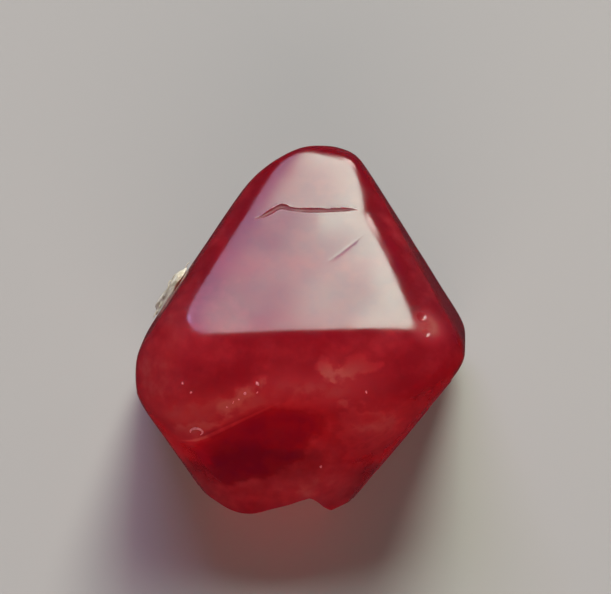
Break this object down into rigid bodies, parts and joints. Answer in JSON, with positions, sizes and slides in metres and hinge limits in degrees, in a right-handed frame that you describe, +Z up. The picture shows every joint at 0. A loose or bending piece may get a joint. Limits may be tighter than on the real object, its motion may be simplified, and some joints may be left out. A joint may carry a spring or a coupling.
{
  "type": "ruby crystal",
  "caption": "Gem-red octahedral crystal lying on one face, with worn edges, a snapped corner, a cracked tip and a crumb of white marble on its side.",
  "frame": {"origin": "in the flat face that the crystal lies on, straight under its heart, the point that its faces are measured from", "axes": "+Z up, square to the face that it lies on; -Y towards the snapped corner; +X to the right seen from there"},
  "size_m": [0.0082, 0.0084, 0.007],
  "materials": {
    "ruby_crystal": "see-through red crystal, natural glossy faces, cloudy with healed cracks inside",
    "marble_matrix": "rough sugary cream-white marble"
  },
  "bodies": {
    "root": {"ruby_crystal": "ruby_crystal", "marble_fleck": "marble_matrix"}
  },
  "joints": []
}
